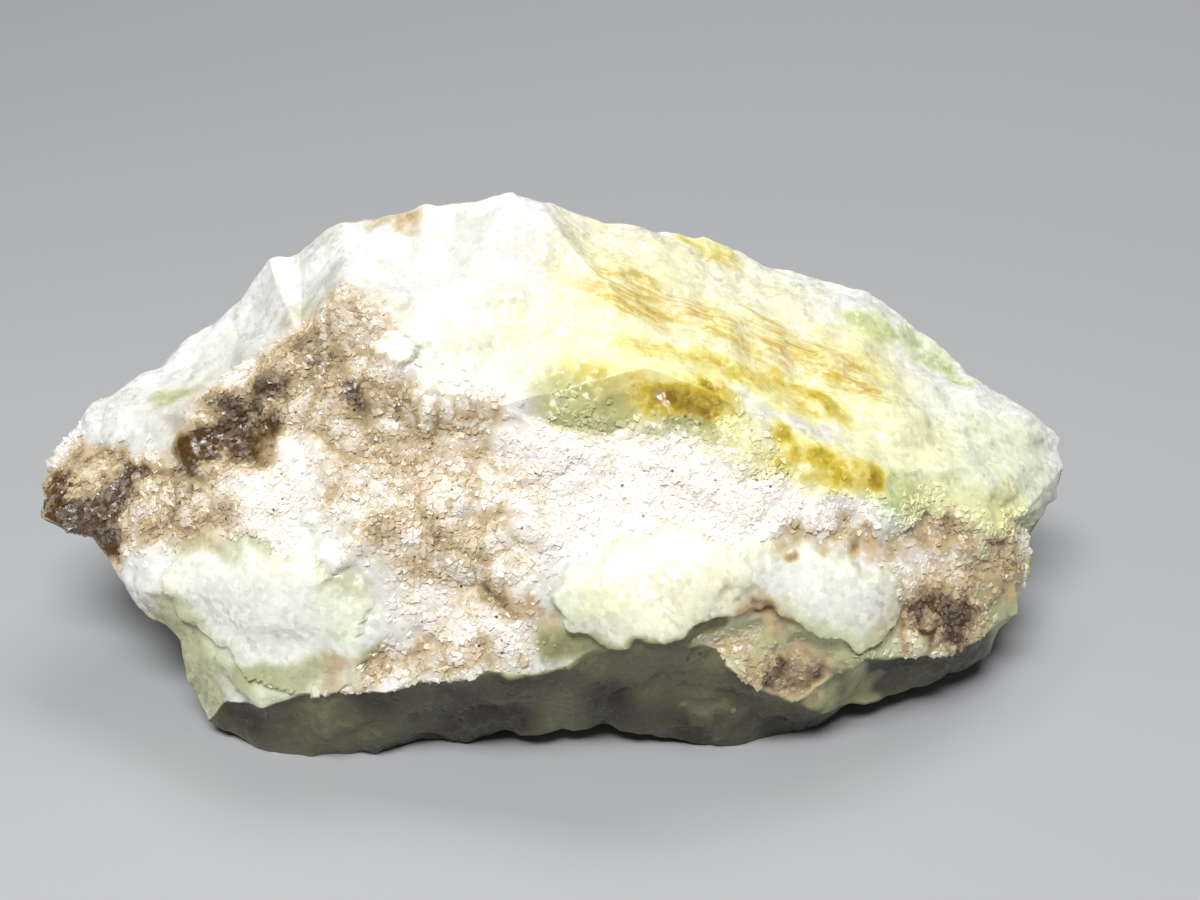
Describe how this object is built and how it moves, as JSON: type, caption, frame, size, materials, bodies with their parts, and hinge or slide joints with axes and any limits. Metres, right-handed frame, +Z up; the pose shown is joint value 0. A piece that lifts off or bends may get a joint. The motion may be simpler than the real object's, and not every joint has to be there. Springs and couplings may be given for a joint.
{
  "type": "datolite mineral specimen",
  "caption": "Broken hand specimen of massive datolite, a pale green, white and honey-yellow lump with flat fracture faces, glassy grains and brown stains, resting on a flat underside.",
  "frame": {"origin": "on the surface that the stone rests on, under the middle of its box", "axes": "+X along the stone's length towards its blunt right end, -Y towards the viewer at the front, +Z up"},
  "size_m": [0.073, 0.042, 0.0315],
  "materials": {
    "datolite": "translucent, sugary broken surface with a glassy shine"
  },
  "bodies": {
    "root": {"stone": "datolite"}
  },
  "joints": []
}
